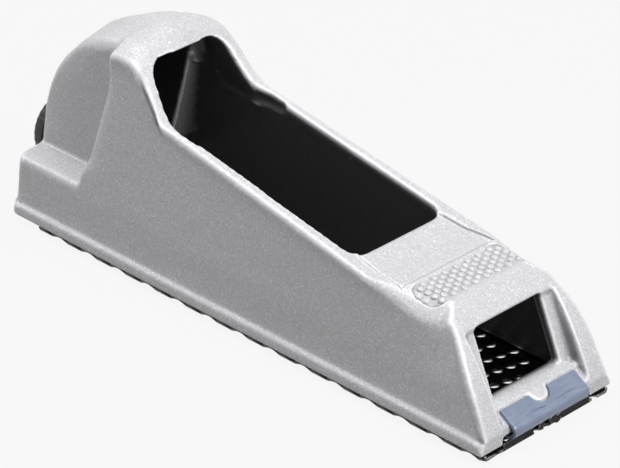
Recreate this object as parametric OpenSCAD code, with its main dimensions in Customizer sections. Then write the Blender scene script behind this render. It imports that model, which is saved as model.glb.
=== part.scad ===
// Block rasp plane: a die-cast body over a perforated toothed blade.
// +X points to the toe, +Z up; z = 0 is where the tooth tips rest.

/* [Casting] */
// Length of the casting, heel to toe cheeks
body_l = 156.5; // [148:0.5:170]
// Width of the casting across its skirt
body_w = 43.6; // [41:0.2:48]
// Height of the skirt's lower edge above the tooth tips
skirt_z = 2; // [1.9:0.1:3]
// Draft of the side walls, in degrees
draft = 7.2; // [5:0.2:9]
// Thickness of the cast walls
wall = 2.6; // [2:0.1:3]
// Height of the bead along the skirt
bead_h = 2.6; // [2:0.1:3.5]
// How far that bead stands proud of the wall
bead_out = 0.6; // [0.3:0.1:0.9]
// How far the heel bulges to the rear at its middle
heel_bulge = 1.5; // [0.8:0.1:2.5]

/* [Handle] */
// Height of the handle's crown
crown_h = 56.8; // [52:0.2:62]
// Distance from the heel to the crown
crown_back = 35; // [33:0.5:38]
// Length over which the crown drops to the rails
crown_drop = 14; // [12:0.5:18]
// Width of the handle at the ledge
grip_w = 20.4; // [19.6:0.2:24]
// How much wider the handle is at its top
grip_flare = 4; // [2:0.2:6]
// Height of the ledge at the heel
ledge_h = 17; // [16:0.5:19]
// Length of the ledge
ledge_l = 23; // [21.5:0.5:25]

/* [Deck and opening] */
// Height of the deck in front of the opening
deck_h = 30.3; // [29:0.1:32]
// Distance from the toe back to where the rails start to rise
deck_l = 39.5; // [37:0.5:42]
// Tilt of the rails, in degrees
rail_tilt = 10; // [8:0.5:11]
// Width of the opening
opening_w = 29.6; // [26:0.2:31]
// Distance from the toe back to the opening
opening_front = 46.2; // [46:0.1:52]
// Distance from the heel to the opening, at rail height
opening_back = 45.5; // [44:0.5:49]
// Corner radius of the opening
opening_r = 4; // [3:0.5:6]
// Half width of the flat part at the deck's front
pad_flat = 12.5; // [11:0.1:13.5]
// Depth of the rounded shoulders beside it
shoulder_h = 4.3; // [3:0.1:5]

/* [Toe] */
// Length of the sloping toe face, seen from above
toe_l = 18.7; // [17:0.1:20]
// Bulge of the toe face above a straight line
toe_bulge = 3.6; // [2:0.1:4.5]
// Width of the recess between the cheeks
recess_w = 29.2; // [27:0.2:30]
// Width of the toe window
window_w = 22.2; // [18:0.2:24]
// Height of the window's lower edge
window_low = 9.6; // [9.2:0.1:11]
// Height of the window's upper edge
window_top = 25.3; // [22:0.1:25.5]

/* [Blade] */
// Thickness of the blade's sheet
sheet_t = 0.7; // [0.5:0.05:0.9]
// Height of the teeth under the sheet
tooth_h = 0.55; // [0.4:0.05:0.7]
// Distance from one row of teeth to the next
tooth_pitch = 5; // [4.5:0.1:6]
// Distance between holes along a row
hole_pitch = 3.6; // [3:0.1:5]
// Diameter of the holes
hole_d = 2.1; // [1.2:0.1:2.4]
// Slant of the rows across the blade, in degrees
row_slant = 14; // [8:1:18]
// Distance from the heel to the blade's tail
tail_back = 10.5; // [9.5:0.5:12]
// Height of the upright lip at the tail
lip_h = 8; // [6:0.5:9]
// Width of that lip
lip_w = 18; // [14:1:24]
// Height of the turned-up edge at the blade's toe
toe_lip_h = 2.4; // [1.9:0.1:2.6]

/* [Toe clip] */
// Width of the toe clip
clip_w = 24.9; // [22:0.1:26.5]
// Thickness of the clip's plate
clip_t = 0.8; // [0.6:0.05:1]
// Radius of the notch in the clip's upper edge
notch_r = 3.1; // [2.5:0.1:3.6]

/* [Tension screw] */
// Diameter of the screw
screw_d = 5; // [4:0.5:5]
// Rise of its thread for one turn
thread_pitch = 0.8; // [0.7:0.1:1]
// Diameter of the knob
knob_d = 18; // [16:0.5:21]
// Thickness of the knob
knob_t = 3.8; // [3.6:0.1:7]
// Height of the screw's axis
screw_z = 16; // [15.5:0.5:18]
// Thickness of the thrust washer
washer_t = 0.5; // [0.4:0.1:1]
// How far the hook can travel when the screw is loosened
hook_travel = 4.8; // [4:0.8:5.6]
// Width of the tension hook
hook_w = 12; // [11:0.5:12]
// Thickness of its plate
hook_t = 2; // [1.5:0.1:2.2]
// Side of the square nut
nut_w = 8; // [7:0.5:9]
// Thickness of the nut
nut_t = 4; // [3:0.5:4.5]

/* [Hidden] */
$fn = 48;

// Clearance of a turning shaft in its bore
run_gap = 0.05;
// Clearance between pieces that only lie near each other
air = 0.3;
// Clearance of two faces that bear on each other
seat = 0.05;

// Lowest and highest places along X, with the whole object's box centred on zero
boss_out = 0.3;
knob_reach = boss_out + washer_t + knob_t + 2*seat;
clip_reach = 1.3;
heel_x = -(body_l + clip_reach - knob_reach)/2;
toe_x = heel_x + body_l;

// Blade levels
sheet_z0 = tooth_h;
sheet_z1 = tooth_h + sheet_t;

// Handle landmarks
crown_x = heel_x + crown_back;
drop_x = crown_x + 1.5;
step_run = 7.2;
step_top_z = 50;
step_lean = step_run/(step_top_z - ledge_h);
back_fullness = 2.07;
back_start = 0.4;
back_rise = 0.6;
crown_arch = 2;
crown_round = 4;
// Least height of the arch's edge, least wall above the bead, and the rail bead's share of a low wall
arch_edge = 0.5;
wall_least = 1.6;
rail_share = 0.3;
// Where an arc's middle point lies between its corner and its ends
arc_45 = 0.3;

// Bead along the rails: its rounding, its height and how far it stands out
rail_round = 1.4;
rail_h = 2;
rail_out = 0.5;
ledge_round = 1.2;
// Bead along the skirt: how deep it sits in the wall, and the fillet that leads up to the wall
bead_root = 0.2;
bead_fillet = 0.4;

// Deck and toe landmarks
deck_x = toe_x - deck_l;
pad_x = toe_x - toe_l;
toe_end = toe_x - 0.3;
toe_low = skirt_z + bead_h + 1;
corner_dev = 5.2;
corner_z = 15;
corner_back = 23.3;
corner_run = 0.7;
shoulder_l = 14.3;
// The shoulders die out over this length at the top of the toe face, and are this full
shoulder_end = 3.5;
shoulder_fullness = 0.8;
// The rounded edges reach no lower than this under the crown
edge_reach = 12;
// Inside, the hollow of the toe starts this far behind its face and ends at this height
hollow_back = 3;
hollow_low = 6.2;

// Plan of the heel: radius of its bulge and of its corners
heel_corner = 2;
heel_r = (pow(body_w/2 - heel_corner, 2) + pow(heel_bulge, 2))/(2*heel_bulge);
heel_flat = 0.06;

// The line of the recess floor in the toe, down to the shelf over the sill
recess_back = 13.6;
shelf_back = 6.4;
shelf_drop = 0.6;
floor_top = [toe_x - recess_back, window_top];
floor_low = [toe_x - shelf_back, window_low];
floor_slope = (floor_low[1] - floor_top[1])/(floor_low[0] - floor_top[0]);
floor_shift = wall*sqrt(1 + 1/(floor_slope*floor_slope));
// Height of that floor line, moved back by dx
function floor_z(x, dx = 0) = floor_low[1] + floor_slope*(x + dx - floor_low[0]);

// Smooth step from 0 to 1
function smooth(t) = let (u = min(1, max(0, t))) u*u*(3 - 2*u);

// Height of the rails, which tilt up towards the handle
function rail_z(x) = deck_h + max(0, deck_x - x)*tan(rail_tilt);

// Height of the toe face, a shallow arch over its chord, and the place where it has a height
toe_rise = toe_low - deck_h + 4*toe_bulge;
function toe_z(x) =
    let (t = (x - pad_x)/(toe_end - pad_x))
    deck_h + toe_rise*t - 4*toe_bulge*t*t;
function toe_at(z) =
    pad_x + (toe_end - pad_x)*(toe_rise + sqrt(toe_rise*toe_rise + 16*toe_bulge*max(0, deck_h - z)))
    /(8*toe_bulge);

// Height of the handle's rounded back, a fuller quarter of an ellipse
function back_z(x) =
    let (u = min(1, max(0, (x - heel_x - back_start)/(crown_back - back_start))))
    ledge_h + back_rise + (crown_h - ledge_h - back_rise)*sqrt(max(0, 1 - pow(1 - u, back_fullness)));

// Height of the casting on its centre line
function top_z(x) =
    x < crown_x ? back_z(x) :
    x < pad_x ? rail_z(x) + (crown_h - rail_z(x))*(1 - smooth((x - drop_x)/crown_drop)) :
    toe_z(x);
function top_slope(x) = (top_z(x + 0.05) - top_z(x - 0.05))/0.1;

// Half width of the side wall, with the turned-in corner at the toe
function side_w(x, z) =
    let (flat_w = body_w/2 - bead_out + bead_root - (z - skirt_z)*tan(draft),
         dev = z > corner_z ? corner_dev*pow((z - corner_z)/(deck_h - corner_z), 2) : 0,
         start = toe_x - corner_back - corner_run*max(0, deck_h - z),
         end = toe_at(z),
         t = min(1, max(0, (x - start)/(end - start))),
         d = x - heel_x + heel_flat,
         back = max(0, heel_bulge + heel_corner - d))
    min(sqrt(2*heel_r*d),
        flat_w - dev*t*t - heel_corner + sqrt(max(0, heel_corner*heel_corner - back*back)));

// Half width of the handle over the ledge
function grip_half(z) = grip_w/2 + grip_flare/2*min(1, max(0, (z - ledge_h)/(step_top_z - ledge_h)));

// Height of the ledge at wall depth t, which turns up into the step in front of it
function ledge_z(x, t) = ledge_h - t + max(0, x - t - heel_x - ledge_l)/step_lean;
step_x = heel_x + ledge_l + step_run;

// How far the deck's edges have become shoulders: 0 at the rails, 1 beside the flat at the front
function shoulder_at(x) = min(1, max(0, (x - deck_x)/shoulder_l))*(1 - smooth((x - pad_x)/shoulder_end));

// Half outline of the section at x, set inward by t, from skirt to crown
function section(x, t) =
    let (narrow = x < step_x + t,
         crown = 1 - smooth((x - crown_x)/(drop_x + crown_drop - crown_x)),
         shoulder = shoulder_at(x),
         slope = top_slope(x),
         lift = sqrt(1 + slope*slope),
         inner_toe = t > 0 && x > pad_x - hollow_back,
         zt = inner_toe ? max(hollow_low, min(deck_h - t, floor_z(x, floor_shift))) : top_z(x) - t*lift,
         edge = rail_round + (crown_round - rail_round)*crown,
         depth = edge + (shoulder_h - edge)*shoulder,
         zb = min(skirt_z + bead_h + bead_fillet, zt - wall_least),
         zs = narrow ? ledge_z(x, t) + 0.1 : zb + 1,
         arch = min(crown_arch*crown, (zt - zs)/2),
         zr = max(zt - max(arch + arch_edge, min(edge_reach, depth*lift)), zs),
         zn = narrow ? min(ledge_z(x, t), zt - arch_edge) : zr - min(rail_h, rail_share*(zr - zb)),
         zl = narrow ? zn : (zb + zn)/2,
         e = min(ledge_round, (zl - zb)/2),
         cut = narrow ? e : 0,
         out = t > 0 || narrow ? 0 : rail_out*(1 - shoulder),
         w = narrow ? min(grip_half(zr), side_w(x, zr)) : side_w(x, zr),
         round_y = min(w - t - arch_edge, edge + (w - pad_flat - edge)*shoulder),
         power = 2/(2 - shoulder_fullness*shoulder))
    concat(
        t > 0 ? [[side_w(x, skirt_z) - t, -1],
                 [side_w(x, zb) - t, zb]] :
            [[side_w(x, skirt_z) + bead_out - bead_root, skirt_z],
             [side_w(x, zb - bead_fillet) + bead_out - bead_root, zb - bead_fillet],
             [side_w(x, zb), zb]],
        [[side_w(x, zl - e) - t, zl - e],
         [side_w(x, zl) - t - arc_45*cut, zl - arc_45*e],
         [side_w(x, zl) - t - cut, zl],
         [(narrow ? min(grip_half(zn), side_w(x, zn) - e - 0.1) : side_w(x, zn)) - t, zn + 0.02]],
        [for (k = [0:4])
            let (a = 20*k + 5)
            [w - t + out - round_y*(1 - pow(cos(a), power)),
             zr + (zt - arch - zr)*pow(sin(a), power)]],
        [[0, zt]]);

// Stations along the casting at wall depth t, closer together where it bends, and fewer inside
function stations(from, to, t) =
    let (skip = t > 0 ? 2 : 1)
    concat(
        [from, from + 0.2, from + 0.5],
        [for (d = [1, 1.5, 2.4, 3.5, 5, 7, 9.5, 12.5, 16, 19.5, 23, 25, 27, 29])
            if (heel_x + d > from + 0.8) heel_x + d],
        [step_x + t - 0.2, step_x + t],
        [for (d = [crown_back - 1, crown_back]) heel_x + d],
        [for (k = [skip:skip:8]) drop_x + crown_drop*k/8],
        [for (k = [skip:skip:4]) drop_x + crown_drop + (deck_x - drop_x - crown_drop)*k/4],
        [for (k = [skip:skip:4]) deck_x + (pad_x - 4 - deck_x)*k/4],
        [for (k = [skip:skip:4]) pad_x - 4 + (4 - 0.1)*k/4],
        [for (k = [0:skip:8]) pad_x + 0.2 + (to - pad_x - 0.2)*k/8]);

// Closed loft through the sections, both halves
module loft(xs, t) {
    half = [for (x = xs) section(x, t)];
    n = len(half[0]);
    ring = 2*n - 1;
    points = [for (i = [0:len(xs) - 1]) each concat(
        [for (p = half[i]) [xs[i], -p[0], p[1]]],
        [for (j = [n - 2:-1:0]) [xs[i], half[i][j][0], half[i][j][1]]])];
    sides = [for (i = [0:len(xs) - 2], j = [0:ring - 1])
        let (a = i*ring + j, b = i*ring + (j + 1)%ring)
        each [[a, b + ring, a + ring], [a, b, b + ring]]];
    // Each end is closed by strips between points at one height, so that it stays flat and whole
    cap = [for (j = [0:n - 2]) each concat(
        [[j, j + 1, ring - 1 - j]],
        j < n - 2 ? [[j + 1, ring - 2 - j, ring - 1 - j]] : [])];
    last = (len(xs) - 1)*ring;
    polyhedron(points = points,
        faces = concat(sides,
            [for (f = cap) [f[2], f[1], f[0]]],
            [for (f = cap) [last + f[0], last + f[1], last + f[2]]]));
}

// A prism with its outline in XZ, centred on the middle plane
module slab(outline, w) {
    rotate([90, 0, 0])
        linear_extrude(w, center = true) polygon(outline);
}

// A rod along X
module rod(x, z, r, l) {
    translate([x, 0, z]) rotate([0, 90, 0]) cylinder(r = r, h = l);
}

// Bed of the toe clip on the sill: its upper corner, its slope and the sill's underside
sill_x = toe_x - 4;
sill_z = window_low - 1.5;
sill_l = 3.2;
sill_drop = 1.9;
sill_nose = 0.7;
sill_low = 4.2;
clip_slope = atan2(sill_drop, sill_l);
stud_root = 0.8;
stud_back = 0.5;

// Centre line of the bent toe clip, from its upper edge down, round and under the sill
clip_in = [sin(clip_slope), cos(clip_slope)]*(clip_t/2 + seat);
clip_low = toe_lip_h + air + clip_t/2;
clip_nose = toe_x + clip_reach - clip_t/2;
clip_mid = (sill_low + clip_low)/2 + 1.1;
clip_path = [[sill_x + 0.1, sill_z - 0.05] + clip_in, [sill_x + sill_l, sill_z - sill_drop] + clip_in,
             [clip_nose - 0.15, clip_mid + 0.9], [clip_nose, clip_mid], [clip_nose - 0.2, clip_mid - 0.9],
             [clip_nose - 0.9, clip_low + 0.2], [clip_nose - 1.9, clip_low], [toe_x - shelf_back, clip_low]];

// Tongues at the blade's toe, which stand in slots of the clip's lower leg
tongue_x = toe_x - 5;
tongue_y = 6;
tongue_w = 4;

// Blade: its toe, its middle level, the top of its edges and how far it lies inside the skirt
blade_toe = toe_x - 0.2;
sheet_mid = sheet_z0 + sheet_t/2;
blade_in = 0.9;
blade_flare = 0.4;
blade_edge_z = skirt_z - seat - sheet_t/2*sin(atan2(blade_flare, skirt_z - seat - sheet_mid));
tooth_base = 1.3;
tooth_land = 0.2;
first_row = 2.2;
tongue_h = 3.9;
toe_lip_w = recess_w - 2*air;

// Mouth of the handle: its height, corner radius and the opening's taper towards it
mouth_h = crown_h - wall - 0.9;
mouth_low = rail_z(drop_x) - 6;
rim_t = 1.7;
mouth_r = 5;
mouth_foot_r = 1;
mouth_taper = 0.9;
mouth_back = 2;
mouth_beyond = 12;

// Boss, ring and screw in the heel
boss_r = 6;
boss_l = 5.5;
ring_t = 0.8;
ring_x = heel_x + boss_l + 2*seat;
hook_low = sheet_z1 + 1.2;
hook_x = heel_x + tail_back + sheet_t + air;
hook_top = screw_z + 6;
hook_foot = 10;
guide_t = 2;
guide_h = 10;
screw_end = hook_x + hook_t + nut_t + hook_travel + 3;
// Grip flutes of the knob: their number, radius and depth
flutes = 30;
flute_r = 0.75;
flute_deep = 0.4;

// Front face of the knob, its dish, its solid face behind the screw's stub, and that stub
knob_x = heel_x - boss_out - washer_t - 2*seat;
knob_dish = 0.8;
knob_face = 0.8;
knob_chamfer = 0.6;
knob_edge = 1.4;
knob_rim = 3;
stub_r = screw_d/2 - 0.5;

// Outline of a sheet of thickness t that is bent along a path
function normal(a, b) = let (d = b - a) [-d[1], d[0]]/norm(d);
function bent(path, t) =
    let (n = len(path),
         side = [for (i = [0:n - 1])
            let (na = normal(path[max(0, i - 1)], path[max(1, i)]),
                 nb = normal(path[min(n - 2, i)], path[min(n - 1, i + 1)]),
                 m = na + nb)
            m*t/(m*m)])
    concat([for (i = [0:n - 1]) path[i] + side[i]], [for (i = [n - 1:-1:0]) path[i] - side[i]]);

// Rim of the opening, seen from above
module opening_plan() {
    x0 = heel_x + opening_back + opening_r;
    x1 = toe_x - opening_front - opening_r;
    hull()
        for (s = [-1, 1]) {
            translate([x1, s*(opening_w/2 - opening_r)]) circle(opening_r);
            translate([x0, s*(opening_w/2 - mouth_taper - opening_r)]) circle(opening_r);
        }
}

// Mouth in the front of the handle, an arch that leaves a thin rim on the side walls
module handle_mouth() {
    w = side_w(crown_x, mouth_h) - rim_t;
    translate([crown_x + mouth_back, 0, 0]) rotate([90, 0, 90])
        linear_extrude(opening_back - crown_back + mouth_beyond) {
            hull()
                for (s = [-1, 1]) {
                    translate([s*(w - mouth_r), mouth_h - mouth_r]) circle(mouth_r);
                    translate([s*(side_w(crown_x, mouth_low) - rim_t - mouth_foot_r), mouth_low])
                        circle(mouth_foot_r);
                }
        }
}

// Part of the toe that is cut away between the cheeks
module toe_recess() {
    beyond = toe_x + shelf_back;
    slab([floor_top, floor_low, [sill_x, window_low - shelf_drop], [sill_x, sill_z],
          [sill_x + sill_l, sill_z - sill_drop], [sill_x + sill_l + sill_nose, sill_low],
          [sill_x - sill_l, sill_low], [sill_x - sill_l, -1], [beyond, -1], [beyond, window_top]],
         recess_w);
}

// Window through the recess floor, square to it
module toe_window() {
    in = 3*wall;
    out = wall;
    slab([[floor_low[0] - in, window_low], [floor_low[0] + out, window_low],
          [floor_top[0] + out, window_top], [floor_top[0] - in, window_top]], window_w);
}

// Guide ribs inside the heel for the edges of the hook
module hook_guides() {
    for (s = [-1, 1])
        translate([heel_x + wall/2, s*(hook_w/2 + air + guide_t/2) - guide_t/2, screw_z - guide_h/2])
            cube([ledge_l - wall/2, guide_t, guide_h]);
}

// Half-round stud on the sill that the notch in the toe clip goes round
module clip_stud() {
    r = notch_r - air;
    h = stud_root + clip_t + seat;
    translate([sill_x, 0, sill_z]) rotate([0, clip_slope, 0]) translate([0, 0, -stud_root])
        intersection() {
            cylinder(r = r, h = h);
            translate([-stud_back, -r, 0]) cube([r + stud_back, 2*r, h]);
        }
}

// Cast body
module body() {
    color([0.72, 0.72, 0.74])
    difference() {
        union() {
            difference() {
                loft(stations(heel_x, toe_end, 0), 0);
                loft(stations(heel_x + wall, floor_low[0], wall), wall);
                translate([0, 0, ledge_h]) linear_extrude(crown_h) opening_plan();
                handle_mouth();
                toe_recess();
                toe_window();
            }
            rod(heel_x - boss_out, screw_z, boss_r, boss_out + boss_l);
            hook_guides();
            clip_stud();
        }
        rod(heel_x - 1, screw_z, screw_d/2 + run_gap, boss_l + 2);
    }
}

// Perforated blade: sheet with turned-up edges, rows of teeth below it, holes and a lip at each end
module blade() {
    half = body_w/2 - blade_in;
    x0 = heel_x + tail_back;
    row_x = blade_toe - first_row;
    plain = 4;
    skew = ceil(half*tan(row_slant)/tooth_pitch);
    rows = floor((row_x - x0 - plain)/tooth_pitch);
    across = floor((half - hole_d)/hole_pitch);
    flank_y = half - sheet_t/2;
    row_w = 2*half/cos(row_slant) + tooth_pitch;
    color([0.13, 0.13, 0.14])
    difference() {
        union() {
            translate([x0, 0, 0]) rotate([90, 0, 90])
                linear_extrude(blade_toe - x0)
                    polygon(bent([[-flank_y, blade_edge_z], [-flank_y + blade_flare, sheet_mid],
                                  [flank_y - blade_flare, sheet_mid], [flank_y, blade_edge_z]],
                                 sheet_t));
            intersection() {
                union()
                    for (i = [-skew:rows + skew])
                        translate([row_x - i*tooth_pitch, 0, 0]) rotate([0, 0, -row_slant])
                            slab([[-tooth_base, sheet_mid], [-tooth_land, 0],
                                  [tooth_land, 0], [tooth_base, sheet_mid]], row_w);
                translate([x0 + plain, -flank_y, 0])
                    cube([blade_toe - x0 - plain, 2*flank_y, sheet_z1]);
            }
            translate([x0, -lip_w/2, sheet_z0]) cube([sheet_t, lip_w, lip_h - sheet_z0]);
            translate([blade_toe - sheet_t, -toe_lip_w/2, sheet_z0])
                cube([sheet_t, toe_lip_w, toe_lip_h - sheet_z0]);
            for (s = [-1, 1])
                translate([tongue_x, s*tongue_y - tongue_w/2, sheet_z0])
                    cube([sheet_t, tongue_w, tongue_h]);
        }
        for (i = [1:rows], j = [-across:across])
            translate([row_x - (i - 0.5)*tooth_pitch + j*hole_pitch*tan(row_slant) % tooth_pitch,
                       j*hole_pitch, -1])
                cylinder(d = hole_d, h = sheet_z1 + 2, $fn = 16);
    }
}

// Spring clip over the toe sill
module toe_clip() {
    color([0.5, 0.55, 0.63])
    difference() {
        slab(bent(clip_path, clip_t), clip_w);
        translate([sill_x, 0, sill_z]) rotate([0, clip_slope, 0])
            translate([0, 0, -clip_t]) cylinder(r = notch_r, h = 4*clip_t);
        for (s = [-1, 1])
            translate([tongue_x - air, s*tongue_y - tongue_w/2 - air, 0])
                cube([sheet_t + 2*air, tongue_w + 2*air, sill_low]);
    }
}

// Knob with grip flutes round its rim and a dished face
module tension_knob() {
    r = knob_d/2;
    seat_depth = knob_t - knob_face - knob_dish;
    color([0.1, 0.1, 0.11])
    difference() {
        translate([knob_x, 0, screw_z]) rotate([0, -90, 0])
            rotate_extrude()
                polygon([[stub_r, 0], [r - knob_chamfer, 0], [r, knob_chamfer], [r, knob_t - knob_edge],
                         [r - 0.3*knob_edge, knob_t - 0.35*knob_edge], [r - knob_edge, knob_t],
                         [r - knob_rim, knob_t], [r - knob_rim - knob_chamfer, knob_t - knob_dish],
                         [0, knob_t - knob_dish], [0, seat_depth], [stub_r, seat_depth]]);
        for (k = [0:flutes - 1])
            rotate_about_screw(k*360/flutes)
                translate([knob_x - knob_t - 1, r + flute_r - flute_deep, 0]) rotate([0, 90, 0])
                    cylinder(r = flute_r, h = knob_t + 2, $fn = 16);
    }
}
module rotate_about_screw(a) {
    translate([0, 0, screw_z]) rotate([a, 0, 0]) children();
}

// Screw, with a groove for the ring and a thinner stub that is fixed in the knob
module tension_screw() {
    stub_x = knob_x - knob_t + knob_face + knob_dish;
    r = screw_d/2;
    groove_r = r - 0.4;
    tip = 0.5;
    color([0.62, 0.63, 0.65])
    translate([0, 0, screw_z]) rotate([0, 90, 0])
        rotate_extrude() polygon([[0, stub_x], [stub_r, stub_x], [stub_r, knob_x],
            [r, knob_x], [r, ring_x - seat], [groove_r, ring_x - seat],
            [groove_r, ring_x + ring_t + seat], [r, ring_x + ring_t + seat], [r, screw_end - tip],
            [r - tip, screw_end], [0, screw_end]]);
}

// A flat ring round the screw
module collar(x, r0, r1, t) {
    translate([x, 0, screw_z]) rotate([0, 90, 0])
        linear_extrude(t) difference() {
            circle(r1);
            circle(r0);
        }
}

module thrust_washer() {
    color([0.66, 0.66, 0.68])
    collar(knob_x + seat, screw_d/2 + run_gap, boss_r - 0.4, washer_t);
}

// Ring that snaps into the screw's groove, open at the top
module retaining_ring() {
    gap = 1.8;
    color([0.3, 0.3, 0.32])
    difference() {
        collar(ring_x, screw_d/2 - 0.35, screw_d/2 + 1.9, ring_t);
        translate([ring_x - 1, -gap/2, screw_z]) cube([ring_t + 2, gap, screw_d]);
    }
}

// Bent plate that the nut pulls to the rear, in front of the blade's lip
module tension_hook() {
    color([0.6, 0.61, 0.63])
    difference() {
        union() {
            translate([hook_x, -hook_w/2, hook_low]) cube([hook_t, hook_w, hook_top - hook_low]);
            translate([hook_x, -hook_w/2, hook_top - hook_t]) cube([hook_foot, hook_w, hook_t]);
        }
        rod(hook_x - 1, screw_z, screw_d/2 + air, hook_t + 2);
    }
}

// Square nut against the hook's front
module square_nut() {
    color([0.55, 0.55, 0.57])
    difference() {
        translate([hook_x + hook_t + seat, -nut_w/2, screw_z - nut_w/2]) cube([nut_t, nut_w, nut_w]);
        rod(hook_x, screw_z, screw_d/2 + run_gap, hook_t + nut_t + 2);
    }
}

body();
blade();
toe_clip();
tension_knob();
tension_screw();
thrust_washer();
retaining_ring();
tension_hook();
square_nut();
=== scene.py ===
"""Block rasp plane in a studio: cast body, toothed blade, toe clip and tension screw.

Each piece has its own operator. The casting keeps the frame's form with softer edges,
a sunk plate and a knurled pad on the deck; the blade has a pierced tooth in every cell.
"""

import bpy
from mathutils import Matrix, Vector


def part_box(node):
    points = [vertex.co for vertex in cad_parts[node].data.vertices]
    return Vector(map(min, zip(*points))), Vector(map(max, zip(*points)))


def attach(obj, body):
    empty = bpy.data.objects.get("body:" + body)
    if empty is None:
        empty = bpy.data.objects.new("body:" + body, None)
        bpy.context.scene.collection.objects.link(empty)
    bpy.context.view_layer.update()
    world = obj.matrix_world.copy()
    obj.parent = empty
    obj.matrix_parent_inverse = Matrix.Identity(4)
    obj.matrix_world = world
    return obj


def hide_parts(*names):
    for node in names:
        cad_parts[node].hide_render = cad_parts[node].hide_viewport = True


bl_info = {
    "name": "Rasp plane",
    "version": (1, 0, 0),
    "blender": (4, 5, 0),
    "location": "View3D > Sidebar > Rasp plane",
    "description": "Builds the visible pieces of a block rasp plane round its packed frame",
    "category": "Add Mesh",
}

import math

import bmesh
import bpy
import numpy as np
from bpy.props import FloatProperty, FloatVectorProperty, IntProperty, PointerProperty
from bpy.types import Operator, Panel, PropertyGroup
from mathutils import Matrix, Vector
from mathutils.bvhtree import BVHTree

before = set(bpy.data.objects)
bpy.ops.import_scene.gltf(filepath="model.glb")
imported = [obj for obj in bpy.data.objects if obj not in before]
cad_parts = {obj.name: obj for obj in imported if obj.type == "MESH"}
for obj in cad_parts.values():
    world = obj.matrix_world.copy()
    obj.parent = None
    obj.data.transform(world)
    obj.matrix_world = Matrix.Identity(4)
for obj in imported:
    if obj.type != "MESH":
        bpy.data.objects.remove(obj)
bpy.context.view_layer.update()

MM = 0.001

# Landmarks of the frame, in millimetres
BODY_LOW, BODY_HIGH = (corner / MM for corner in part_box("body"))
BLADE_LOW, BLADE_HIGH = (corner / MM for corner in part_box("blade"))
CLIP_LOW, CLIP_HIGH = (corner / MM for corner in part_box("toe_clip"))
KNOB_LOW, KNOB_HIGH = (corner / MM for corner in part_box("tension_knob"))
SCREW_LOW, SCREW_HIGH = (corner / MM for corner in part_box("tension_screw"))
AXIS_Z = (SCREW_LOW.z + SCREW_HIGH.z) / 2

BOSS_OUT = 0.3
HEEL_X = BODY_LOW.x + BOSS_OUT
TOE_X = BLADE_HIGH.x + 0.2
CROWN_H = BODY_HIGH.z
SKIRT_Z = BODY_LOW.z


# Helpers


def linear(hex_colour):
    """Linear RGBA of an sRGB hex colour."""
    parts = [int(hex_colour[i : i + 2], 16) / 255 for i in (1, 3, 5)]
    return [c / 12.92 if c <= 0.04045 else ((c + 0.055) / 1.055) ** 2.4 for c in parts] + [1.0]


def smooth(t):
    """Smooth step from 0 to 1."""
    t = min(1.0, max(0.0, t))
    return t * t * (3 - 2 * t)


def settings():
    return bpy.context.scene.rasp_plane


def new_piece(name, shape, materials=()):
    """A new object in the scene, from a mesh or a bmesh drawn in millimetres."""
    mesh = mesh_from(shape, name) if isinstance(shape, bmesh.types.BMesh) else shape
    obj = bpy.data.objects.new(name, mesh)
    bpy.context.scene.collection.objects.link(obj)
    for material in materials:
        mesh.materials.append(material)
    return obj


def mesh_from(bm, name, scale=MM):
    """A mesh from a bmesh drawn in millimetres."""
    bmesh.ops.scale(bm, vec=(scale,) * 3, verts=bm.verts)
    mesh = bpy.data.meshes.new(name)
    bm.to_mesh(mesh)
    bm.free()
    return mesh


def bmesh_from(mesh):
    """A bmesh of a mesh, in millimetres."""
    bm = bmesh.new()
    bm.from_mesh(mesh)
    bmesh.ops.scale(bm, vec=(1 / MM,) * 3, verts=bm.verts)
    return bm


def modify(obj, name, kind, **attributes):
    """Adds a modifier with its settings."""
    modifier = obj.modifiers.new(name, kind)
    for key, value in attributes.items():
        setattr(modifier, key, value)


def shade(obj, angle):
    """Smooth shading, with creases where faces meet at a larger angle."""
    obj.data.shade_smooth()
    obj.data.set_sharp_from_angle(angle=math.radians(angle))


def rides(obj, body, slot, *nodes):
    """The piece moves with a body and stands for CAD nodes, which it hides; the slot is not used."""
    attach(obj, body)
    if nodes:
        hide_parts(*nodes)


def merged_copy(node):
    """A bmesh of a CAD node in millimetres, with the corners of its triangles joined."""
    bm = bmesh_from(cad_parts[node].data)
    bmesh.ops.remove_doubles(bm, verts=bm.verts, dist=0.002)
    return bm


# Materials


# Tones of the flakes: where each starts in a flake's random number, how light it is
FLAKE_TONES = ((0.0, 0.8), (0.3, 0.97), (0.85, 1.02), (1.0, 1.36))

# Sockets of a Mix node that mixes colours
FACTOR, COLOUR_A, COLOUR_B, MIXED = 0, 6, 7, 2


def feed(tree, node, inputs):
    """Sets inputs of a node, each to a fixed value or the socket that feeds it."""
    for key, value in inputs.items():
        if isinstance(value, bpy.types.NodeSocket):
            tree.links.new(value, node.inputs[key])
        else:
            node.inputs[key].default_value = value


def add_node(tree, kind, inputs=None, stops=(), **attributes):
    """Adds a node with its settings, its inputs and the (position, colour) stops of its ramp."""
    node = tree.nodes.new(kind)
    for key, value in attributes.items():
        setattr(node, key, value)
    for i, (position, colour) in enumerate(stops):
        elements = node.color_ramp.elements
        element = elements[i] if i < 2 else elements.new(position)
        element.position = position
        element.color = colour
    feed(tree, node, inputs or {})
    return node


def cleared(owner):
    """The node tree of a material or world, emptied."""
    owner.use_nodes = True
    owner.node_tree.nodes.clear()
    return owner.node_tree


def new_material(name):
    """An empty material with a shader wired to its output, and its object coordinates."""
    material = bpy.data.materials.new(name)
    tree = cleared(material)
    shader = add_node(tree, "ShaderNodeBsdfPrincipled")
    add_node(tree, "ShaderNodeOutputMaterial", {"Surface": shader.outputs[0]})
    place = add_node(tree, "ShaderNodeTexCoord").outputs["Object"]
    return material, tree, shader, place


def grey(value):
    return (value, value, value, 1.0)


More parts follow.
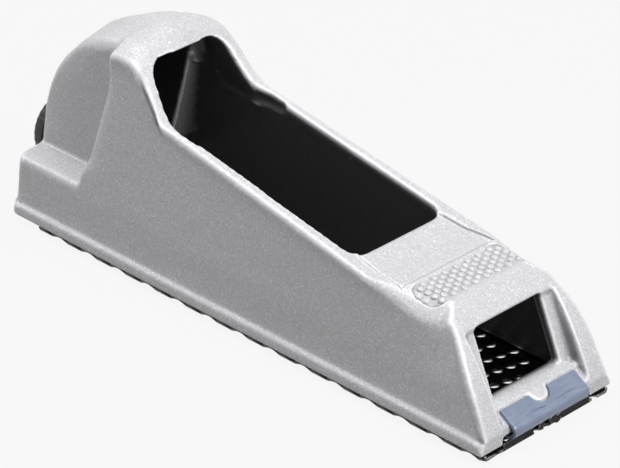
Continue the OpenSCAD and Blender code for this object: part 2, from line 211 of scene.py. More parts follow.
def tinted(colour, factor):
    return [min(1.0, c * factor) for c in colour[:3]] + [1.0]


def sparkle_paint():
    """Sparkle silver enamel on a die casting: fine flakes and a soft sheen, over a dark inside of
    painted shade.

    Three numbers on each point steer it: how much silver coat shows against the dark inside, which is
    painted shade where the casting sees little sky; how the surface bends, for a painted highlight along
    outer edges and painted shade in corners; and how much further painted shade falls in the recess of
    the toe, on the pad, along creases and lines and in corners.
    """
    material, tree, shader, place = new_material("sparkle_silver_enamel")
    colour = settings().casting.paint
    cover, bend, deep = (
        add_node(tree, "ShaderNodeAttribute", attribute_name=name).outputs["Fac"]
        for name in ("cover", "bend", "deep")
    )
    # Flakes are some 0.05 mm; they are drawn at 0.27 mm, the least that shows in a picture
    flakes = add_node(tree, "ShaderNodeTexVoronoi", {"Scale": 1 / (0.27 * MM), "Vector": place})
    cell = add_node(tree, "ShaderNodeSeparateColor", {"Color": flakes.outputs["Color"]})
    # Clouds in the coat, grain of the matt dark inside, which is painted shade, and orange peel of the
    # sprayed coat, each with its width in millimetres and its detail
    mottle, grain, peel = (
        add_node(
            tree, "ShaderNodeTexNoise", {"Scale": 1 / (width * MM), "Detail": detail, "Vector": place}
        ).outputs["Fac"]
        for width, detail in ((1.1, 4.0), (0.7, 5.0), (1.5, 2.0))
    )
    hollow = add_node(tree, "ShaderNodeMath", {0: bend, 1: -1.0}, operation="MULTIPLY")
    # Ramps, painted highlight and painted shade among them; the last is the share of silver coat, crisp
    # between the part silver of the handle's inner shoulder and full silver
    flecks, clouds, painted_highlight, shade_in, shade_tone, shaded_inside, inner_highlight, gloss, coat = (
        add_node(tree, "ShaderNodeValToRGB", {"Fac": source}, stops).outputs[0]
        for source, stops in (
            (cell.outputs[0], [(at, tinted(colour, k)) for at, k in FLAKE_TONES]),
            (mottle, [(0.3, grey(0.93)), (0.7, grey(1.0))]),
            # Painted highlight toward near white along outer edges
            (bend, [(0.25, grey(0.0)), (1.0, grey(0.75))]),
            (hollow.outputs[0], [(0.15, grey(1.0)), (0.9, grey(0.66))]),
            # Deeper painted shade in the toe's recess, on the pad, along creases and lines and in
            # corners
            (deep, [(0.0, grey(1.0)), (1.0, grey(0.16))]),
            # The matt dark inside, which is painted shade
            (grain, [(0.3, linear("#3a3a3c")), (0.75, linear("#464648"))]),
            # Painted highlight along the edges of the dark inside
            (bend, [(0.3, grey(0.0)), (0.8, grey(0.8))]),
            (cell.outputs[1], [(0.0, grey(0.34)), (1.0, grey(0.5))]),
            (cover, [(0.0, grey(0.0)), (0.35, grey(0.35)), (0.47, grey(0.35)), (0.56, grey(1.0))]),
        )
    )
    # Flake tones under the clouds, then a painted highlight toward near white along outer edges, painted
    # shade in corners and deeper painted shade in the recess, on the pad, along creases and lines and in
    # corners
    paint = flecks
    for mode, factor, other in (
        ("MULTIPLY", 1.0, clouds),
        ("MIX", painted_highlight, linear("#f2f2f4")),
        ("MULTIPLY", 1.0, shade_in),
        ("MULTIPLY", 1.0, shade_tone),
    ):
        inputs = {FACTOR: factor, COLOUR_A: paint, COLOUR_B: other}
        paint = add_node(tree, "ShaderNodeMix", inputs, data_type="RGBA", blend_type=mode).outputs[MIXED]
    # The matt dark inside, which is painted shade, with a painted highlight along its edges
    inputs = {FACTOR: inner_highlight, COLOUR_A: shaded_inside, COLOUR_B: linear("#b9b9bc")}
    inside = add_node(tree, "ShaderNodeMix", inputs, data_type="RGBA").outputs[MIXED]
    for target, within, sprayed in (("Base Color", inside, paint), ("Roughness", grey(0.62), gloss)):
        inputs = {FACTOR: coat, COLOUR_A: within, COLOUR_B: sprayed}
        both = add_node(tree, "ShaderNodeMix", inputs, data_type="RGBA").outputs[MIXED]
        feed(tree, shader, {target: both})
    shine = add_node(tree, "ShaderNodeMath", {0: coat, 1: 0.12}, operation="MULTIPLY").outputs[0]
    inputs = {"Strength": 0.2, "Distance": 0.04 * MM, "Height": peel}
    coarse = add_node(tree, "ShaderNodeBump", inputs).outputs[0]
    inputs = {"Strength": 0.22, "Distance": 0.03 * MM, "Height": cell.outputs[2], "Normal": coarse}
    fine = add_node(tree, "ShaderNodeBump", inputs).outputs[0]
    feed(tree, shader, {"Metallic": shine, "Normal": fine, "Coat Weight": 0.1, "Coat Roughness": 0.25})
    return material


def brushed_metal(name, dark, light, roughness, stretch, grain, metallic=1.0, bump=0.3):
    """A sheet or turned metal: tone and gloss drawn out along one direction by its last working."""
    material, tree, shader, place = new_material(name)
    inputs = {"Scale": [1 / s for s in stretch], "Vector": place}
    drawn = add_node(tree, "ShaderNodeMapping", inputs).outputs[0]
    inputs = {"Scale": 1 / (grain * MM), "Detail": 6.0, "Roughness": 0.6, "Vector": drawn}
    marks = add_node(tree, "ShaderNodeTexNoise", inputs).outputs["Fac"]
    inputs = {"Scale": 1 / (6 * MM), "Detail": 3.0, "Vector": place}
    clouds = add_node(tree, "ShaderNodeTexNoise", inputs).outputs["Fac"]
    total = add_node(tree, "ShaderNodeMath", {0: clouds, 1: 0.5, 2: marks}, operation="MULTIPLY_ADD")
    for target, source, stops in (
        ("Base Color", total.outputs[0], [(0.55, linear(dark)), (0.95, linear(light))]),
        ("Roughness", marks, [(0.3, grey(roughness * 0.8)), (0.7, grey(roughness * 1.25))]),
    ):
        tone = add_node(tree, "ShaderNodeValToRGB", {"Fac": source}, stops)
        feed(tree, shader, {target: tone.outputs[0]})
    inputs = {"Strength": bump, "Distance": 0.02 * MM, "Height": marks}
    scratches = add_node(tree, "ShaderNodeBump", inputs)
    feed(tree, shader, {"Normal": scratches.outputs[0], "Metallic": metallic})
    return material


def moulded_black():
    """Black moulded nylon: matt, with the fine spark texture of its mould."""
    material, tree, shader, place = new_material("black_nylon")
    inputs = {"Scale": 1 / (0.35 * MM), "Detail": 3.0, "Vector": place}
    grain = add_node(tree, "ShaderNodeTexNoise", inputs).outputs["Fac"]
    stops = [(0.3, linear("#161617")), (0.7, linear("#242426"))]
    tone = add_node(tree, "ShaderNodeValToRGB", {"Fac": grain}, stops).outputs[0]
    inputs = {"Strength": 0.4, "Distance": 0.04 * MM, "Height": grain}
    bump = add_node(tree, "ShaderNodeBump", inputs).outputs[0]
    feed(tree, shader, {"Base Color": tone, "Roughness": 0.5, "Normal": bump})
    return material


# Metals: dark and light tone, roughness, how far marks run along x, y and z, their width in millimetres
# and, if not the usual, the share of metal and the strength of the marks
METALS = {
    # Hardened steel blacked in hot oil: near black with a satin gloss, blotched where oil dried
    "oil_blacked_steel": ("#0f0f11", "#2b2a2c", 0.36, (3, 1, 1), 0.8, 0.75),
    # Cut rims of the blade, where the black has come off: grey steel with a dull gleam
    "rubbed_cut_steel": ("#4d4c4d", "#8b8a8a", 0.4, (1, 1, 1), 0.5),
    # Blue-grey plated spring steel: smooth and satin, with hardly a mark
    "plated_spring_steel": ("#77839a", "#8791a6", 0.36, (1, 6, 1), 0.6, 0.3, 0.05),
    # Bright zinc plate on mild steel: pale and slightly cloudy, with turning marks
    "bright_zinc_plate": ("#8f9297", "#c6c9cc", 0.3, (1, 5, 5), 0.5),
    # Phosphated spring steel: dark grey and dull
    "phosphated_spring_steel": ("#2c2d30", "#47494c", 0.5, (1, 1, 1), 0.4),
}


def metal(name):
    """The metal of that name, made when first asked for."""
    return bpy.data.materials.get(name) or brushed_metal(name, *METALS[name])


# Settings


def measure(name, description, default, unit="mm"):
    """A setting with a unit."""
    return FloatProperty(name=name, description=f"{description}, in {unit}", default=default)


class CastingSettings(PropertyGroup):
    voxel: measure("Skin grid", "Size of the squares of the body's skin", 0.45)
    most_triangles: IntProperty(
        name="Most triangles", description="Triangles that the body's skin is thinned to", default=185000
    )
    rays: IntProperty(
        name="Rays", description="Directions in which each point looks for open sky", default=36
    )
    paint: FloatVectorProperty(
        name="Paint", description="Colour of the sparkle paint", subtype="COLOR", size=4,
        default=linear("#cfcfd2"),
    )
    plate_depth: measure("Plate depth", "How far the bare plate lies under the deck", 0.35)
    pad_depth: measure("Pad depth", "How far the floor of the knurled pad lies under the deck", 0.3)
    bump_pitch: measure("Knurl pitch", "Distance between neighbouring knurls", 2.14)
    bump_r: measure("Knurl radius", "Radius of a knurl's foot", 0.92)
    bump_h: measure("Knurl height", "Height of a knurl above the pad's floor", 0.5)


class BladeSettings(PropertyGroup):
    sheet: measure("Sheet", "Thickness of the blade's sheet", 0.7)
    tooth: measure("Tooth", "Height of a tooth under the sheet", 0.62)
    hole: measure("Hole", "Width of a hole", 2.45)
    row_pitch: measure("Row pitch", "Distance between rows", 5.15)
    hole_pitch: measure("Hole pitch", "Distance along a row", 3.6)
    slant: measure("Slant", "Slant of the rows", 14.0, "degrees")


class ClipSettings(PropertyGroup):
    plate: measure("Plate", "Thickness of the clip", 0.8)
    notch_r: measure("Notch", "Radius of the notch", 3.1)
    crease: measure("Crease", "Depth of the pressed creases", 0.3)


class ScrewSettings(PropertyGroup):
    flutes: IntProperty(name="Flutes", description="Grip flutes round the knob", default=30)
    thread_pitch: measure("Thread pitch", "Rise for one turn", 0.8)


class StageSettings(PropertyGroup):
    key: measure("Key light", "Strength of the large light above", 7.0, "watts")
    toe: measure("Toe light", "Strength of the light beyond the toe", 5.2, "watts")
    heel: measure("Heel light", "Strength of the light beside the heel", 1.2, "watts")
    fill: FloatProperty(name="Fill light", description="Strength of the world's light", default=0.1)


class RaspPlaneSettings(PropertyGroup):
    casting: PointerProperty(type=CastingSettings)
    blade: PointerProperty(type=BladeSettings)
    clip: PointerProperty(type=ClipSettings)
    screw: PointerProperty(type=ScrewSettings)
    stage: PointerProperty(type=StageSettings)


# Shape of the casting, which says how soft an edge is and where painted shade falls

WALL_FOOT = 21.4
BEAD_TOP = SKIRT_Z + 2.6
BEAD_PUSH = 0.3
BEAD_FILLET = 0.9
WALL_INSET = 0.5
HEEL_LEAN = 0.45
DRAFT = math.tan(math.radians(7.2))
CROWN_X = HEEL_X + 35
LEDGE_H = 17
LEDGE_L = 23
STEP_RUN = 7.2
STEP_X = HEEL_X + LEDGE_L + STEP_RUN
DECK_H = 30.3
DECK_X = TOE_X - 39.5
RAIL_SLOPE = math.tan(math.radians(10))
OPEN_FRONT = TOE_X - 46.2
OPEN_BACK = HEEL_X + 45.5
WELL_BACK = HEEL_X + 50
OPEN_HALF = 16.5
TOE_SILL = TOE_X - 8
WINDOW_LOW = 9.6

# The handle's mouth: where it starts, the height of its rim there and 16 mm on, and the crease beside it
MOUTH_X = CROWN_X + 2
RIM_TOP = (54.0, 40.0)
CREASE = ((-35.5, 51.0), (-26.4, 40.2))

# Plate and pad on the deck: their ends, half widths and corners, and the groove round the plate
PLATE_END = 48.95
PLATE_HALF = 14.0
PLATE_FLARE = 0.12
PLATE_GROOVE = 0.3
PAD_START, PAD_END = 49.7, 60.1
PAD_HALF = 15.7
PAD_CORNER = 3.6
KNURL_X = 55.3

# Rounds of smoothing along crisp edges, at the handle's inner shoulder, round the ledges and in plain
# fillets, and what the mouth and the step behind the ledges get on top
CRISP_ROUNDS = 2
SHOULDER_ROUNDS = 3
LEDGE_ROUNDS = 4
FILLET_ROUNDS = 7
MOUTH_ROUNDS = 7
STEP_ROUNDS = 150

# Rounds that even out the sky each point sees, the share of silver on the handle's inner shoulder, how
# far the silver runs down into the well above the dark inside, which is painted shade, and how much
# painted shade falls on the pad, in the crease, round the plate and in corners
SKY_ROUNDS = 14
SHOULDER_SILVER = 0.38
WELL_RUN = 1.4
SHADE_PAD, SHADE_CREASE, SHADE_PLATE, SHADE_CORNER = 0.3, 0.95, 0.55, 0.42

# How the skin departs from the frame: higher crown, fuller back of the handle, thicker rim of the mouth,
# which rolls out over the wall, and the crease under that roll
CROWN_RISE = 1.1
BACK_FULLER = 2.2
RIM_THICKER = 1.1
RIM_ROLL = 0.5
CREASE_DEPTH = 0.15


def softening(p):
    """Rounds of smoothing for a point of the skin: the larger the fillet there, the more."""
    if p.z < SKIRT_Z + 3.4 or p.x > TOE_X - 19 or (p.x > TOE_SILL and p.z < WINDOW_LOW + 1):
        return CRISP_ROUNDS
    if p.z < LEDGE_H + 3 and p.x < STEP_X:
        return LEDGE_ROUNDS
    if -5 < p.x - STEP_X + 2 < 8 and 21 < p.z < 45 and abs(p.y) < wall_y(p.z) - 3.2:
        return SHOULDER_ROUNDS
    step = smooth((STEP_X + 5 - p.x) / 5) * smooth((CROWN_H - 6 - p.z) / 8)
    step *= smooth((p.z - LEDGE_H - 3) / 5)
    mouth = smooth((p.z - DECK_H - 6) / 6) * smooth((OPEN_BACK + 12 - p.x) / 6)
    return FILLET_ROUNDS + STEP_ROUNDS * step + MOUTH_ROUNDS * mouth


def wall_y(z):
    """Half width of the body's outside at a height."""
    return WALL_FOOT - (z - SKIRT_Z) * DRAFT


def bead_push(z):
    """How far the skin stands out beyond the frame's near the bead along the skirt, in millimetres.

    The bead's face stays upright, its top falls back to the wall in a hollow fillet, and the wall over
    it lies a little further in.
    """
    if z < BEAD_TOP:
        return BEAD_PUSH
    rise = min(1.0, (z - BEAD_TOP) / BEAD_FILLET)
    inset = WALL_INSET * (1 - smooth((z - BEAD_TOP - BEAD_FILLET) / 11))
    return (BEAD_PUSH + WALL_INSET) * (1 - rise) ** 4 - inset


def crown_lift(p):
    """How far the top of the handle rises over the frame's, in millimetres."""
    length = smooth((p.x - HEEL_X - 9) / 7) * smooth((HEEL_X + 40 - p.x) / 8)
    return CROWN_RISE * length * smooth((p.z - CROWN_H + 22) / 16) * smooth((13.5 - abs(p.y)) / 4)


def back_push(p, normal):
    """How much fuller the back of the handle is than the frame's, in millimetres."""
    height = smooth((p.z - LEDGE_H) / 10) * smooth((CROWN_H - 2 - p.z) / 14)
    length = smooth((HEEL_X + 26 - p.x) / 6)
    return BACK_FULLER * height * smooth((-normal.x - 0.1) / 0.4) * length


def rim_lip(p):
    """How far the rim beside the handle's mouth is thickened inwards at a point, in millimetres."""
    span = smooth((p.x - MOUTH_X + 3) / 5) * smooth((MOUTH_X + 18 - p.x) / 7)
    top = RIM_TOP[0] + (p.x - MOUTH_X) * (RIM_TOP[1] - RIM_TOP[0]) / 16
    depth = smooth((p.z - top + 9) / 5)
    inward = smooth((wall_y(p.z) - abs(p.y)) / 2)
    return RIM_THICKER * span * depth * inward * smooth((abs(p.y) - 3) / 7)


def crease_at(p):
    """The crease beside the mouth's rim: its share at a point, and how far outside it the point lies."""
    way = Vector((CREASE[1][0] - CREASE[0][0], CREASE[1][1] - CREASE[0][1]))
    place = Vector((p.x - CREASE[0][0], p.z - CREASE[0][1]))
    along = place.dot(way) / way.length_squared
    outside = (place.x * way.y - place.y * way.x) / way.length
    ends = smooth((along + 0.15) / 0.4) * smooth((1.15 - along) / 0.4)
    return ends, outside


def beside_mouth(p, normal):
    """Rolls the mouth's rim out over the wall, with a crease at its foot."""
    ends, outside = crease_at(p)
    gap = wall_y(p.z) - abs(p.y)
    if ends and gap < 3 and normal.y * p.y > 0:
        roll = RIM_ROLL * smooth(0.5 - outside / 0.7) * smooth((outside + 4.5) / 3.5)
        crease = CREASE_DEPTH * math.exp(-(((outside - 0.4) / 0.4) ** 2))
        p.y += math.copysign(roll - crease, p.y) * ends


# Casting


def soft_skin(casting):
    """The body's skin on a fine even grid, with its edges rounded like a casting's fillets."""
    source = new_piece("body_source", merged_copy("body"))
    modify(source, "Skin", "REMESH", mode="VOXEL", voxel_size=casting.voxel * MM)
    bm = bmesh_from(baked_mesh(source))
    rounds = {v: softening(v.co) for v in bm.verts}
    for i in range(int(max(rounds.values())) + 1):
        verts = [v for v in bm.verts if rounds[v] > i]
        bmesh.ops.smooth_vert(
            bm, verts=verts, factor=0.5, use_axis_x=True, use_axis_y=True, use_axis_z=True
        )
    bm.normal_update()
    for v in bm.verts:
        p = v.co
        side = math.copysign(1, p.y)
        if p.z < BEAD_TOP + BEAD_FILLET + 11:
            p.y += side * bead_push(p.z) * smooth((abs(p.y) - wall_y(p.z) + 3) / 1.5)
            if p.z > BEAD_TOP:
                lean = HEEL_LEAN * (1 - smooth((p.z - BEAD_TOP) / (LEDGE_H - BEAD_TOP)))
                p.x -= lean * smooth((HEEL_X + 3 - p.x) / 1.5)
        if p.z > LEDGE_H:
            p.x = max(min(p.x, HEEL_X + 0.1), p.x - back_push(p, v.normal))
        if p.z > DECK_H and p.x < MOUTH_X + 24:
            p.y -= side * rim_lip(p)
            p.z += crown_lift(p)
            beside_mouth(p, v.normal)
    return bm


def baked_mesh(obj):
    """The object's mesh with its modifiers applied; the object goes."""
    graph = bpy.context.evaluated_depsgraph_get()
    mesh = bpy.data.meshes.new_from_object(obj.evaluated_get(graph))
    bpy.data.objects.remove(obj)
    return mesh


def thinned(mesh, most):
    """The mesh with its flat parts in larger triangles, so that it has no more than the most."""
    mesh.calc_loop_triangles()
    source = new_piece("thinned_source", mesh)
    modify(source, "Thin", "DECIMATE", ratio=min(1.0, most / len(mesh.loop_triangles)))
    return baked_mesh(source)


def pad_edge(x, y):
    """Distance inside the outline of the knurled pad, negative outside it."""
    dx = abs(x - (PAD_START + PAD_END) / 2) - (PAD_END - PAD_START) / 2 + PAD_CORNER
    dy = abs(y) - PAD_HALF + PAD_CORNER
    return PAD_CORNER - math.hypot(max(dx, 0), max(dy, 0)) - min(max(dx, dy), 0)


def plate_edge(x, y):
    """Distance inside the outline of the bare plate between the opening and the pad."""
    return np.minimum(PLATE_END - x, PLATE_HALF + (x - OPEN_FRONT) * PLATE_FLARE - np.abs(y))


def sink_deck(bm, casting):
    """Lowers the plate and the pad's floor a little under the deck, with crisp edges."""
    deck = set()
    for f in bm.faces:
        c = f.calc_center_median()
        if OPEN_FRONT - 3 < c.x < PAD_END + 2 and c.z > DECK_H - 6 and f.normal.z > 0.5:
            deck.add(f)
    edges = [e for e in bm.edges if deck.intersection(e.link_faces)]
    bmesh.ops.subdivide_edges(bm, edges=edges, cuts=1, use_grid_fill=True)
    for v in bm.verts:
        x, y, z = v.co
        if OPEN_FRONT - 0.6 < x < PAD_END + 2 and z > DECK_H - 6 and v.normal.z > 0.4:
            inside = plate_edge(x, y)
            groove = PLATE_GROOVE * math.exp(-(((inside - 0.3) / 0.3) ** 2))
            plate = smooth(inside / 0.4) * (casting.plate_depth + groove)
            pad = smooth(pad_edge(x, y) / 0.5) * casting.pad_depth
            v.co.z -= max(plate, pad)


def sky_directions(count):
    """Directions spread evenly over the sphere."""
    turn = math.pi * (3 - math.sqrt(5))
    heights = [1 - (2 * i + 1) / count for i in range(count)]
    radii = [math.sqrt(1 - h * h) for h in heights]
    return [
        Vector((math.cos(i * turn) * r, math.sin(i * turn) * r, h))
        for i, (r, h) in enumerate(zip(radii, heights))
    ]


def meets_blade(start, way):
    """Whether a ray leaves the casting downwards, where the blade closes it."""
    if way.z > -0.01 or start.z < SKIRT_Z * MM:
        return False
    at = start + way * ((SKIRT_Z * MM - start.z) / way.z)
    return BLADE_LOW.x < at.x / MM < BLADE_HIGH.x and abs(at.y / MM) < BLADE_HIGH.y


def spread(values, edges, rounds):
    """Values of a mesh's points, evened out along its edges."""
    count = len(values)
    degree = np.maximum(np.bincount(edges.ravel(), minlength=count), 1)
    for _ in range(rounds):
        total = np.bincount(edges[:, 0], values[edges[:, 1]], count)
        total += np.bincount(edges[:, 1], values[edges[:, 0]], count)
        values = 0.5 * values + 0.5 * total / degree
    return values


def openness(mesh, rays):
    """Share of the sky that each point of the casting sees, from 0 to 1."""
    mesh.calc_loop_triangles()
    places = [v.co for v in mesh.vertices]
    tree = BVHTree.FromPolygons(places, [t.vertices[:] for t in mesh.loop_triangles])
    ways = sky_directions(rays)
    shares = []
    for v in mesh.vertices:
        start = v.co + v.normal * 0.4 * MM
        total = seen = 0.0
        for way in ways:
            weight = v.normal.dot(way)
            if weight > 0.08:
                total += weight
                if tree.ray_cast(start, way)[0] is None and not meets_blade(start, way):
                    seen += weight
        shares.append(seen / total)
    return np.array(shares)


def curvature(points, normals, edges):
    """Bend of the surface at each point, in 1/mm: positive along outer edges, negative in corners."""
    count = len(points)
    degree = np.maximum(np.bincount(edges.ravel(), minlength=count), 1)
    step = points[edges[:, 1]] - points[edges[:, 0]]
    rise = np.bincount(edges[:, 0], np.einsum("ij,ij->i", step, normals[edges[:, 0]]), count)
    rise -= np.bincount(edges[:, 1], np.einsum("ij,ij->i", step, normals[edges[:, 1]]), count)
    length = np.einsum("ij,ij->i", step, step)
    square = np.bincount(edges[:, 0], length, count) + np.bincount(edges[:, 1], length, count)
    return -4 * rise / degree / np.maximum(square / degree, 1e-9)


def read_rows(items, name, width, kind):
    """A value of all points or edges of a mesh, a row for each."""
    values = np.empty(len(items) * width, dtype=kind)
    items.foreach_get(name, values)
    return values.reshape(-1, width)


def paint_reach(mesh, casting):
    """Stores, for each point of the casting, how much silver coat shows against the painted shade of the
    dark inside, how sharply it bends and how much further painted shade falls on it.
    """
    points = read_rows(mesh.vertices, "co", 3, float) / MM
    normals = read_rows(mesh.vertices, "normal", 3, float)
    edges = read_rows(mesh.edges, "vertices", 2, np.int32)
    x, y, z = points.T
    nx, ny, nz = normals.T
    half = np.abs(y)
    sky = spread(openness(mesh, casting.rays), edges, SKY_ROUNDS)
    rail = DECK_H + np.maximum(0, DECK_X - x) * RAIL_SLOPE
    well = (x > WELL_BACK) & (x < OPEN_FRONT + 1) & (half < OPEN_HALF)
    # Silver where a point sees enough sky, elsewhere the dark inside, which is painted shade; in the
    # well the painted shade starts just under the rail
    cover = np.clip((sky - 0.38) / 0.06, 0, 1)
    cover = np.where(well, np.minimum(cover, np.clip((z - rail + WELL_RUN) / 0.5, 0, 1)), cover)
    # The inner shoulder of the handle, which faces the mouth, is drawn part silver, lighter than the
    # dark inside
    shoulder = (x < CROWN_X) & (z > 20) & (half > 6) & (nx > 0.5) & (sky < 0.4)
    cover = np.maximum(cover, SHOULDER_SILVER * shoulder)
    bend = spread(curvature(points, normals, edges), edges, 2)
    # Painted shade in the toe's recess, where it sees little sky
    recess = np.clip((x - TOE_X + 16) / 3, 0, 1) * (half < OPEN_HALF)
    deep = recess * np.clip((0.66 - sky) / 0.26, 0, 1)
    # Painted shade on the pad's floor between the knurls
    pad = (x > PAD_START + 0.8) & (x < PAD_END - 0.8) & (half < PAD_HALF - 0.8) & (z > DECK_H - 8)
    deep = np.maximum(deep, SHADE_PAD * spread(pad.astype(float), edges, 2))
    # Painted shade in the crease beside the mouth's rim
    near = (x > MOUTH_X) & (x < MOUTH_X + 20) & (z > DECK_H + 6) & (ny * np.sign(y) > 0.3)
    for i in np.flatnonzero(near):
        ends, outside = crease_at(Vector(points[i]))
        deep[i] = SHADE_CREASE * ends * math.exp(-(((outside - 0.3) / 0.5) ** 2))
    # Painted shade in the groove round the bare plate, and a painted dark reflection on the corners
    # turned in beside the toe
    line = plate_edge(x, y)
    on_deck = (x > OPEN_FRONT + 0.4) & (x < PAD_START) & (z > DECK_H - 6) & (nz > 0.5)
    deep = np.maximum(deep, SHADE_PLATE * on_deck * np.exp(-(((line - 0.25) / 0.32) ** 2)))
    turned_in = np.clip((nx - 0.1) / 0.25, 0, 1) * (np.abs(ny) > 0.72) * (x > TOE_X - 32)
    deep = np.maximum(deep, SHADE_CORNER * spread(turned_in * (z > BEAD_TOP + 1), edges, 1))
    store(mesh, cover=spread(cover, edges, 2), bend=bend, deep=deep)


def store(mesh, **layers):
    """Keeps a number for each point of the mesh under each name."""
    for name, values in layers.items():
        layer = mesh.attributes.new(name, "FLOAT", "POINT")
        layer.data.foreach_set("value", np.broadcast_to(values, len(mesh.vertices)).astype(np.float32))


class RASP_OT_casting(Operator):
    """Cast body with soft fillets, silver paint outside and painted shade inside"""

    bl_idname = "rasp.casting"
    bl_label = "Casting"

    def execute(self, context):
        casting = settings().casting
        bm = soft_skin(casting)
        sink_deck(bm, casting)
        mesh = thinned(mesh_from(bm, "cast_body"), casting.most_triangles)
        paint_reach(mesh, casting)
        mesh.shade_smooth()
        body = new_piece("cast_body", mesh, [sparkle_paint()])
        rides(body, "casting", "silver_paint", "body")
        return {"FINISHED"}


class RASP_OT_deck_grip(Operator):
    """Knurls on the pad at the front of the deck"""

    bl_idname = "rasp.deck_grip"
    bl_label = "Deck grip"

    def execute(self, context):
        casting = settings().casting
        graph = context.evaluated_depsgraph_get()
        tree = BVHTree.FromObject(bpy.data.objects["cast_body"], graph)
        bm = bmesh.new()
        pitch = casting.bump_pitch
        row = pitch * math.sqrt(3) / 2
        for j in range(-8, 9):
            for i in range(-3, 4):
                x = KNURL_X + (i + 0.5 * (j % 2)) * pitch
                y = j * row
                if pad_edge(x, y) < casting.bump_r - 0.1:
                    continue
                above = Vector((x, y, DECK_H + 10)) * MM
                hit, normal, _, _ = tree.ray_cast(above, Vector((0, 0, -1)))
                turn = Vector((0, 0, 1)).rotation_difference(normal).to_matrix().to_4x4()
                shape = Matrix.Diagonal((casting.bump_r, casting.bump_r, casting.bump_h, 1))
                place = Matrix.Translation(hit / MM) @ turn @ shape
                bmesh.ops.create_uvsphere(bm, u_segments=12, v_segments=8, radius=1, matrix=place)
        grip = new_piece("deck_grip", bm, [bpy.data.materials["sparkle_silver_enamel"]])
        # The knurls are full silver, with neither painted highlight nor painted shade
        store(grip.data, cover=1.0, bend=0.0, deep=0.0)
        grip.data.shade_smooth()
        rides(grip, "casting", "silver_paint")
        return {"FINISHED"}


# Blade

SHEET_Z0 = 0.55
CELL_POINTS = 16
COLUMNS = 5
FIRST_ROW = 2.2
PLAIN_TAIL = 5.5
LIP_HALF = 9.05
TOE_LIP_HALF = 14.4
TOE_LIP_TOP = 2.4

# Rings round a hole: their size, the share of the tooth's height that they drop, how far they go forward
TOOTH_RINGS = ((1.42, 0.0, 0.0), (1.18, 0.4, 0.05), (1.0, 1.0, 0.25))

# Tongues at the blade's toe, in the slots of the clip
TONGUE_X = TOE_X - 4.65
TONGUE_Y = 6
TONGUE_W = 3.3
TONGUE_TOP = 3.9


def cell_outline():
    """Points round a cell of the blade, the same for every cell so that neighbours join."""
    half_x, half_y = settings().blade.row_pitch / 2, settings().blade.hole_pitch / 2
    points = []
    for k in range(CELL_POINTS):
        step = k * 8 / CELL_POINTS
        c = max(-1.0, min(1.0, 2 - abs((step + 4) % 8 - 4)))
        s = max(-1.0, min(1.0, 2 - abs((step + 2) % 8 - 4)))
        points.append(Vector((half_x * c, half_y * s, 0)))
    return points


def tooth_cell(bm, blade):
    """One cell of the blade: a hole whose rear lip is drawn down and forward to a tooth."""
    turns = [math.tau * k / CELL_POINTS for k in range(CELL_POINTS)]
    ways = [Vector((math.cos(a), math.sin(a))) for a in turns]
    loops = [[bm.verts.new(p) for p in cell_outline()]]
    for grow, drop, forward in TOOTH_RINGS:
        ring = []
        reach = blade.hole / 2 * grow
        for way in ways:
            lip = smooth(0.35 - way.x * 0.9) * (1 - 0.35 * abs(way.y))
            place = (reach * way.x + forward * lip, reach * way.y, -blade.tooth * drop * lip)
            ring.append(bm.verts.new(place))
        loops.append(ring)
    for outer, inner in zip(loops, loops[1:]):
        bmesh.ops.bridge_loops(bm, edges=ring_edges(bm, outer) + ring_edges(bm, inner))


def ring_edges(bm, verts):
    """The edges round a closed ring of points, made where they are missing."""
    pairs = zip(verts, verts[1:] + verts[:1])
    return [bm.edges.get(pair) or bm.edges.new(pair) for pair in pairs]


def drawn_edge(bm, edges, moves, along):
    """Extrudes a row of open edges by each move in turn; along says which edges go on with it."""
    for move in moves:
        made = bmesh.ops.extrude_edge_only(bm, edges=edges)["geom"]
        verts = [g for g in made if isinstance(g, bmesh.types.BMVert)]
        edges = [g for g in made if isinstance(g, bmesh.types.BMEdge) and g.is_boundary]
        edges = [e for e in edges if abs(e.verts[0].co[along] - e.verts[1].co[along]) > 1e-4]
        bmesh.ops.translate(bm, verts=verts, vec=move)


def open_edges(bm, test):
    """The open edges whose two ends pass the test."""
    return [e for e in bm.edges if e.is_boundary and all(test(v.co) for v in e.verts)]


